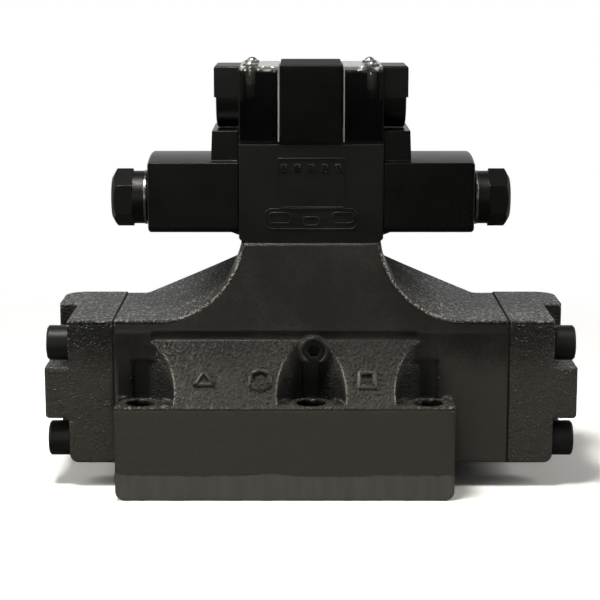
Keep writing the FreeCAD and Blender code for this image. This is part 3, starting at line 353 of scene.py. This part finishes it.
def black_iron(name, milled_front):
    material, start = start_material(name)
    rounded = round_edges(start, radius=iron_round, samples=10)
    facing = start.add("ShaderNodeTexCoord", output="Normal")
    front = part_of(start, facing, "Y")
    upward = part_of(start, facing, "Z")
    sideways = place_on(start, "X")
    aside = abs(sideways)
    from_middle = abs(place_on(start, "Y"))
    height_above = place_on(start, "Z")
    grain = noise(start, scale=1150, detail=1.0, roughness=0.5)
    lumps = noise(start, scale=330, detail=1.0, roughness=0.4)
    pits = noise(start, scale=760, detail=1.0, roughness=0.5, stretch=(1, 0.55, 0.9))
    stains = noise(start, scale=30, detail=5.0, roughness=0.6)

    # Cast skin: stain marks, rougher on slopes, with painted glints on the grains that face up
    slope = steps(start, upward, *slope_facing)
    # Painted shade: fewer painted glints in the hollows beside the neck, where shade falls
    by_neck = slope * fades(start, aside, *neck_reach)
    # Painted light: the lower part is lighter, as light from below falls on it
    painted_low_light = 0.45 * fades(start, height_above, *low_part)
    stains_and_low_light = steps(start, 0.6 * stains + 0.4 * grain + painted_low_light, *stain_and_low_light_levels)
    glint = steps(start, upward, *top_facing) * (1 - 0.7 * by_neck)
    glint = glint * steps(start, pits, *glint_levels)
    colour = blend_colours(start, stains_and_low_light, iron_dark, iron_light)
    colour = blend_colours(start, glint, colour, iron_glint)
    gloss = 0.26 + 0.12 * stains + 0.45 * by_neck
    height = 1.5 * grain + 0.8 * lumps + 4.2 * (slope * pits)

    # Painted highlight on the rounded rim along the front of the housing's top
    bent = rim_bend(start, rounded)
    turned_front = steps(start, -1 * part_of(start, rounded, "Y"), *edge_facing)
    rim = bent * between(start, height_above, top_edge_low, top_edge_high) * turned_front

    if milled_front:
        # Painted shade in the bolt pockets and in the bolt holes
        behind_apron = apron_slope.z * (-apron_top.y - from_middle)
        behind_apron = behind_apron - apron_slope.y * (height_above - apron_top.z)
        pocket = steps(start, behind_apron, *pocket_depth) * fades(
            start, height_above, *pocket_fade_up
        )
        pocket = pocket * between(start, sideways, *pocket_ends)
        pocket = pocket * steps(start, height_above, *pocket_floor)
        pocket = pocket * fades(start, sideways, *pocket_fade_right)
        hole_length = between(start, sideways, *hole_ends)
        bolt_hole = hole_length * between(start, height_above, *hole_heights)
        bolt_hole = bolt_hole * fades(start, from_middle, *hole_depth)
        shadow = pocket.maths("MAXIMUM", pocket, bolt_hole)
        colour = blend_colours(start, shadow, colour, iron_shade_and_seam)
        gloss = gloss + 0.3 * pocket

        # Painted highlights on the rims of the pockets, the bolt holes and the flares
        pocket_rim = steps(start, abs(sideways - plug_x), *plug_clear)
        pocket_rim = pocket_rim * between(start, height_above, *pocket_rim_heights)
        pocket_rim = pocket_rim * fades(start, behind_apron, *pocket_rim_depth)
        pocket_rim = pocket_rim * between(start, sideways, -apron_half_width, apron_half_width)
        hole_rim = hole_length * between(start, height_above, *hole_rim_heights)
        hole_rim = hole_rim * fades(start, from_middle, *hole_rim_depth)
        flare_rim = steps(start, front, *flare_begins) * fades(start, front, *flare_ends)
        flare_rim = flare_rim * between(start, height_above, housing_top, flare_high)
        rim = rim + bent * (1.6 * pocket_rim + 0.7 * hole_rim) + 0.8 * flare_rim

        # Milled front wall, smoother than the cast skin, and the ground foot band
        wave = 0.0050 * stains + 0.0016 * lumps
        above_foot = steps(start, height_above + wave, *foot_top)
        milling = noise(start, scale=900, detail=2.0, roughness=0.5, stretch=(0.12, 1, 1))
        milled_grain = 0.06 + 0.40 * steps(start, from_middle, *flange_depth)
        cast_part = (1 - milled_grain) * steps(start, front, *milled_facing)
        height = height * (milled_grain + cast_part) * (0.25 + 0.75 * above_foot)
        height = height + (0.06 + 0.10 * (1 - above_foot)) * milling
        streaks = noise(start, scale=300, detail=3.0, roughness=0.6, stretch=(1, 1, 0.12))
        foot_mask = steps(start, streaks, *streak_levels)
        foot_iron = blend_colours(start, foot_mask, foot_dull, foot_bright)
        colour = blend_colours(start, above_foot, foot_iron, colour)

    # Painted highlight on the rims, broken up by the grain
    rim = rim * steps(start, grain, *rim_levels)
    colour = blend_colours(start, rim, colour, iron_rim_highlight)
    # The seam where a cover meets the body is a dark joint, drawn in the same dark as the painted
    # shade
    inner, outer = seam_widths
    seam = steps(start, aside, cover_seam - outer, cover_seam - inner)
    seam = seam * fades(start, aside, cover_seam + inner, cover_seam + outer)
    colour = blend_colours(start, seam, colour, iron_shade_and_seam)
    bumped = bump(start, strength=1.0, depth=grain_depth, height=height, rounded=rounded)
    shade(start, {"Base Color": colour, "Roughness": gloss + 0.5 * seam, "Normal": bumped})
    return material


dress(black_iron("black_cast_iron", True), ["main_body"])
dress(black_iron("black_cover_iron", False), ["left_end_cover", "right_end_cover"])


# Pilot body
# A smaller iron casting, milled on all sides and coated satin black, with faint cutter lines.
# It stands on the neck of the main casting and carries the coils and the box.

pilot_dark = (0.0036, 0.0037, 0.0028)
pilot_light = (0.0066, 0.0068, 0.0052)
blotch_levels = (0.35, 0.65)


def milled_iron(name):
    material, start = start_material(name)
    rounded = round_edges(start, radius=0.0006)
    stains = noise(start, scale=40, detail=4.0, roughness=0.6)
    lines = noise(start, scale=1400, detail=2.0, roughness=0.5, stretch=(0.10, 0.10, 1))
    pores = noise(start, scale=1900, detail=2.0, roughness=0.5)
    colour = blend_colours(start, steps(start, stains, *blotch_levels), pilot_dark, pilot_light)
    height = 0.6 * lines + 0.4 * pores
    bumped = bump(start, strength=0.5, depth=0.00012, height=height, rounded=rounded)
    shade(start, {"Base Color": colour, "Roughness": 0.34 + 0.12 * stains, "Normal": bumped})
    return material


pilot_iron = milled_iron("satin_black_iron")
dress(pilot_iron, ["pilot_body"])


# Moulded black parts
# Coils with their connector blocks, coil nuts, terminal box and its middle cap are moulded in
# black plastic. They are glossy, a little wavy, and dusty on the box; the cap is polished on its
# sides and dull on top.

cap_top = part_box("middle_cap")[1][2]
dull_layer = 0.0006
dull_blend = 0.0004
smear_levels = (0.45, 0.7)


def moulded_black(name, base, gloss, wave_depth, edge, dull_above=None):
    material, start = start_material(name)
    rounded = round_edges(start, radius=edge)
    wave = noise(start, scale=55, detail=2.0, roughness=0.4)
    skin = noise(start, scale=2400, detail=1.0, roughness=0.5)
    smears = noise(start, scale=22, detail=5.0, roughness=0.65)
    lighter = tuple(1.7 * c for c in base)
    colour = blend_colours(start, steps(start, smears, *smear_levels), base, lighter)
    roughness = gloss + 0.15 * smears
    if dull_above:
        dull = steps(start, place_on(start, "Z"), dull_above, dull_above + dull_blend)
        roughness = roughness + 0.45 * dull
    height = wave + 0.03 * skin
    bumped = bump(start, strength=0.7, depth=wave_depth, height=height, rounded=rounded)
    shade(start, {"Base Color": colour, "Roughness": roughness, "Normal": bumped})
    return material


def both_sides(*names):
    return [side + name for name in names for side in ("left_", "right_")]


coil_black = moulded_black(
    "coil_moulding", base=(0.0020, 0.0020, 0.0018), gloss=0.20, wave_depth=0.0003, edge=0.0008
)
nut_black = moulded_black(
    "nut_moulding", base=(0.0018, 0.0018, 0.0018), gloss=0.32, wave_depth=0.0002, edge=0.0005
)
box_black = moulded_black(
    "box_moulding", base=(0.0028, 0.0028, 0.0026), gloss=0.26, wave_depth=0.0003, edge=0.0005
)
cap_black = moulded_black(
    "cap_moulding",
    base=(0.0022, 0.0024, 0.0018),
    gloss=0.10,
    wave_depth=0.00015,
    edge=0.0007,
    dull_above=cap_top - dull_layer,
)
block_black = moulded_black(
    "block_moulding", base=(0.035, 0.035, 0.036), gloss=0.35, wave_depth=0.0001, edge=0.0003
)
dress(coil_black, both_sides("coil"))
dress(nut_black, both_sides("coil_nut"))
dress(box_black, ["terminal_box"])
dress(cap_black, ["middle_cap"])
dress(block_black, ["terminal_block"])


# Clear windows
# Two hoods of clear plastic cover the lamps. Most of the front wall is an opaque black sheet,
# painted shade for the dark inside of the box; the corner by the screw stays clear, the sheet's
# edge is painted pale where light leaves it, and the moulded top is uneven, so it glitters under
# the lamp.

window_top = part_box("left_window")[1][2]
top_band = 0.0026
top_wave = 0.0012
edge_strip = (0.0150, 0.0152)
corner_side = (0.0248, 0.0256)
corner_height = (0.1762, 0.1770)
see_through_levels = (0.3, 0.7)
clear_tint = (0.86, 0.87, 0.85, 1)
shade_liner_black = (0.0006, 0.0006, 0.0007, 1)
edge_pale = (0.55, 0.56, 0.53, 1)
shine_white = (0.9, 0.9, 0.88, 1)


def clear_plastic(name):
    material, start = start_material(name)
    rounded = round_edges(start, radius=0.0008)
    aside = abs(place_on(start, "X"))
    high = place_on(start, "Z")
    wave = noise(start, scale=210, detail=2.0, roughness=0.5)
    smears = noise(start, scale=60, detail=4.0, roughness=0.6)
    band_foot, band_full = window_top - top_band, window_top - 0.6 * top_band
    top = steps(start, high + top_wave * wave, band_foot, band_full)
    corner = steps(start, aside, *corner_side) * steps(start, high, *corner_height)
    edge = fades(start, aside, *edge_strip)
    height = wave * (0.02 + top)
    bumped = bump(start, strength=0.9, depth=0.0010, height=height, rounded=rounded)
    clear = start.add("ShaderNodeBsdfTransparent", None, {"Color": clear_tint})
    liner = start.add("ShaderNodeBsdfPrincipled", None, {
        "Base Color": shade_liner_black,
        "Roughness": 0.06 + 0.08 * smears,
        "Normal": rounded,
    })
    pale = start.add("ShaderNodeBsdfDiffuse", None, {"Color": edge_pale})
    shine = start.add("ShaderNodeBsdfPrincipled", None, {
        "Base Color": shine_white,
        "Metallic": 1.0,
        "Roughness": 0.05 + 0.12 * smears,
        "Normal": bumped,
    })
    grazing = start.add("ShaderNodeFresnel", None, {"IOR": 1.45, "Normal": bumped})
    see_through = steps(start, corner + top, *see_through_levels)
    wall = mix_shaders(start, see_through, liner, clear)
    edged = mix_shaders(start, edge, wall, pale)
    whole = mix_shaders(start, grazing + 0.25 * top, edged, shine)
    start.add("ShaderNodeOutputMaterial", None, {"Surface": whole})
    return material


dress(clear_plastic("smoky_clear_plastic"), both_sides("window"))


# Metal hardware
# Blackened socket screws and the front plug, bright plated window screws, plated fixing screws,
# ground steel spools, tubes, pins and washers, oiled spring wire and plated terminal clamps.

all_round = (1, 1, 1)
along_x = (8, 0.4, 0.4)


def turned_metal(name, base, metallic, gloss, depth, edge, stretch=all_round):
    material, start = start_material(name)
    rounded = round_edges(start, radius=edge)
    lines = noise(start, scale=1500, detail=2.0, roughness=0.5, stretch=stretch)
    stains = noise(start, scale=90, detail=4.0, roughness=0.6)
    darker = tuple(0.6 * c for c in base)
    colour = blend_colours(start, steps(start, stains, *blotch_levels), darker, base)
    height = lines + 0.5 * stains
    bumped = bump(start, strength=0.6, depth=depth, height=height, rounded=rounded)
    shade(start, {
        "Base Color": colour,
        "Metallic": metallic,
        "Roughness": gloss + 0.14 * stains,
        "Normal": bumped,
    })
    return material


blackened_steel = turned_metal(
    "blackened_steel",
    base=(0.018, 0.018, 0.017), metallic=0.30, gloss=0.36, depth=0.00008, edge=0.0008,
)
bright_plating = turned_metal(
    "bright_plating",
    base=(0.80, 0.80, 0.78), metallic=1.0, gloss=0.26, depth=0.00004, edge=0.0003,
)
zinc_plating = turned_metal(
    "zinc_plating",
    base=(0.50, 0.50, 0.47), metallic=1.0, gloss=0.24, depth=0.00004, edge=0.0003,
)
ground_steel = turned_metal(
    "ground_steel",
    base=(0.50, 0.50, 0.49), metallic=1.0, gloss=0.22, depth=0.00003, edge=0.0003,
    stretch=along_x,
)
spring_wire = turned_metal(
    "spring_wire",
    base=(0.28, 0.28, 0.28), metallic=1.0, gloss=0.26, depth=0.00005, edge=0.0002,
)
clamp_plating = turned_metal(
    "clamp_plating",
    base=(0.66, 0.52, 0.26), metallic=1.0, gloss=0.25, depth=0.00005, edge=0.0002,
)
dress(blackened_steel, both_sides("cover_screws") + ["front_plug", "pilot_screws"])
dress(bright_plating, ["window_screws"])
dress(zinc_plating, ["box_screws"])
dress(ground_steel, ["main_spool", "pilot_spool"] + both_sides(
    "spring_collar", "spring_plate", "push_pin", "armature", "core_tube", "override_pin",
    "coil_washer",
))
dress(spring_wire, both_sides("main_spring", "pilot_spring"))
dress(clamp_plating, ["terminal_clamps"])


# Seals, gasket and lamps
# Moulded black nitrile rings and the box gasket lie in their grooves and joints. The two red
# indicator lamps stand under the clear windows.

rubber_dark = (0.008, 0.008, 0.008)
rubber_bloom = (0.020, 0.020, 0.019)
bloom_levels = (0.4, 0.7)


def rubber(name):
    material, start = start_material(name)
    skin = noise(start, scale=900, detail=3.0, roughness=0.6)
    bloom = noise(start, scale=120, detail=4.0, roughness=0.6)
    colour = blend_colours(start, steps(start, bloom, *bloom_levels), rubber_dark, rubber_bloom)
    bumped = bump(start, strength=0.5, depth=0.0001, height=skin)
    shade(start, {"Base Color": colour, "Roughness": 0.5 + 0.2 * bloom, "Normal": bumped})
    return material


lamp_red = moulded_black(
    "lamp_lens", base=(0.22, 0.012, 0.008), gloss=0.12, wave_depth=0.0001, edge=0.0004
)
dress(rubber("black_nitrile"), both_sides("cover_seals", "tube_seal", "nut_seal") + [
    "port_seals", "pilot_line_seals", "pilot_port_seals", "box_gasket",
])
dress(lamp_red, ["lamps"])


# Cast marks on the apron
# The foundry's marks stand about a millimetre proud of the sloping apron, between the bolt
# pockets. They are plain here: a triangle, a hexagon and a square, each a rounded ridge.

mark_places = (-0.0482, -0.0230, 0.0250)
mark_sides = (3, 6, 4)
mark_radius = 0.0062
mark_stroke = 0.0017
mark_rise = 0.0013
mark_foot = 0.0008
mark_height_above = 0.0535
mark_corner_share = 0.2
corner_segments = 4
crest_segments = 3


def add_ridge(mesh, corners, rounding, stroke, rise, foot, origin, upward):
    # Adds a closed ridge that runs just inside a flat outline and stands out of a plane
    across = Vector((1, 0, 0))
    outward = across.cross(upward)
    older = set(mesh.faces)
    verts = [mesh.verts.new(origin + x * across + z * upward - foot * outward) for x, z in corners]
    mesh.faces.new(verts)
    bmesh.ops.bevel(
        mesh,
        geom=verts,
        offset=rounding,
        segments=corner_segments,
        profile=0.5,
        affect="VERTICES",
        material=-1,
    )
    outline = [face for face in mesh.faces if face not in older]
    strip = bmesh.ops.inset_region(
        mesh, faces=outline, thickness=stroke, use_boundary=True, use_even_offset=True
    )["faces"]
    bmesh.ops.delete(mesh, geom=outline, context="FACES")
    risen = bmesh.ops.extrude_face_region(mesh, geom=strip, use_keep_orig=True)["geom"]
    top_verts = [v for v in risen if isinstance(v, bmesh.types.BMVert)]
    top_faces = [f for f in risen if isinstance(f, bmesh.types.BMFace)]
    bmesh.ops.translate(mesh, verts=top_verts, vec=(rise + foot) * outward)
    rims = [
        edge for face in top_faces for edge in face.edges
        if sum(other in top_faces for other in edge.link_faces) == 1
    ]
    bmesh.ops.bevel(
        mesh,
        geom=rims,
        offset=min(0.35 * stroke, 0.8 * rise),
        segments=crest_segments,
        profile=0.5,
        affect="EDGES",
        material=-1,
    )


def add_piece(mesh, name, material):
    bmesh.ops.recalc_face_normals(mesh, faces=mesh.faces)
    data = bpy.data.meshes.new(name)
    mesh.to_mesh(data)
    mesh.free()
    for face in data.polygons:
        face.use_smooth = True
    data.materials.append(material)
    piece = bpy.data.objects.new(name, data)
    scene.collection.objects.link(piece)
    return piece


marks = bmesh.new()
down_slope = (mark_height_above - apron_top.z) / apron_slope.z
for place, sides in zip(mark_places, mark_sides):
    turn = math.pi / 2 if sides == 3 else math.pi / sides
    angles = [turn + k * math.tau / sides for k in range(sides)]
    corners = [(mark_radius * math.cos(a), mark_radius * math.sin(a)) for a in angles]
    origin = apron_top + down_slope * apron_slope + Vector((place, 0, 0))
    rounding = mark_radius * math.sin(math.pi / sides) * mark_corner_share
    add_ridge(marks, corners, rounding, mark_stroke, mark_rise, mark_foot, origin, apron_slope)
# Painted highlight: the marks are lighter than the casting round them
mark_iron = moulded_black(
    "mark_iron", base=(0.060, 0.059, 0.055), gloss=0.30, wave_depth=0.0003, edge=0.0006
)
cast_marks = add_piece(marks, "cast_marks", mark_iron)
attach(cast_marks, "valve")


# Raised lines on the pilot body
# The front of the pilot body has a shallow panel: a narrow upper frame, a wider lower one and
# three rounded outlines in it. The row of characters in the upper frame is left as plain boxes.

panel_front = -0.024
line_width = 0.0007
line_rise = 0.00045
line_foot = 0.0003
box_size = (0.0030, 0.0040)
box_row = 0.1462
box_step = 0.0062
box_rounding = 0.0004
frames = [
    ((0, 0.1395), (0.031, 0.023), 0.0012),
    ((0, 0.1230), (0.042, 0.010), 0.0030),
    ((-0.0145, 0.1235), (0.0105, 0.0055), 0.0020),
    ((0.0000, 0.1220), (0.0080, 0.0045), 0.0018),
    ((0.0145, 0.1235), (0.0105, 0.0055), 0.0020),
] + [((k * box_step, box_row), box_size, box_rounding) for k in range(-2, 3)]

panel = bmesh.new()
for (x, z), (width, height), rounding in frames:
    half_width, half_height = width / 2, height / 2
    corners = [
        (-half_width, -half_height),
        (half_width, -half_height),
        (half_width, half_height),
        (-half_width, half_height),
    ]
    origin = Vector((x, panel_front, z))
    upright = Vector((0, 0, 1))
    add_ridge(panel, corners, rounding, line_width, line_rise, line_foot, origin, upright)
raised_panel = add_piece(panel, "raised_panel", pilot_iron)
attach(raised_panel, "valve")


# Window bosses
# Under each bright screw the clear window has a moulded boss: a thin sleeve down the post inside,
# and a low raised ring round the screw's head. They are painted pale, for the light that runs in
# them.

boss_places = [(x, y) for x in (-0.0276, 0.0276) for y in (-0.015, 0.015)]
sleeve_radii = (0.0024, 0.0029)
sleeve_ends = (0.1775, window_top - 0.0017)
ring_radii = (0.0028, 0.0034)
ring_ends = (window_top - 0.0004, window_top + 0.0008)
turn_steps = 32

bosses = bmesh.new()
for x, y in boss_places:
    for (inner, outer), (low, high) in ((sleeve_radii, sleeve_ends), (ring_radii, ring_ends)):
        profile = [(inner, low), (outer, low), (outer, high), (inner, high)]
        verts = [bosses.verts.new((x + radius, y, z)) for radius, z in profile]
        loop = [bosses.edges.new((verts[k], verts[(k + 1) % 4])) for k in range(4)]
        bmesh.ops.spin(
            bosses,
            geom=verts + loop,
            cent=(x, y, 0),
            axis=(0, 0, 1),
            angle=math.tau,
            steps=turn_steps,
            use_merge=True,
        )
boss_plastic = moulded_black(
    "boss_plastic", base=(0.10, 0.10, 0.095), gloss=0.12, wave_depth=0.0003, edge=0.0003
)
window_bosses = add_piece(bosses, "window_bosses", boss_plastic)
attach(window_bosses, "valve")
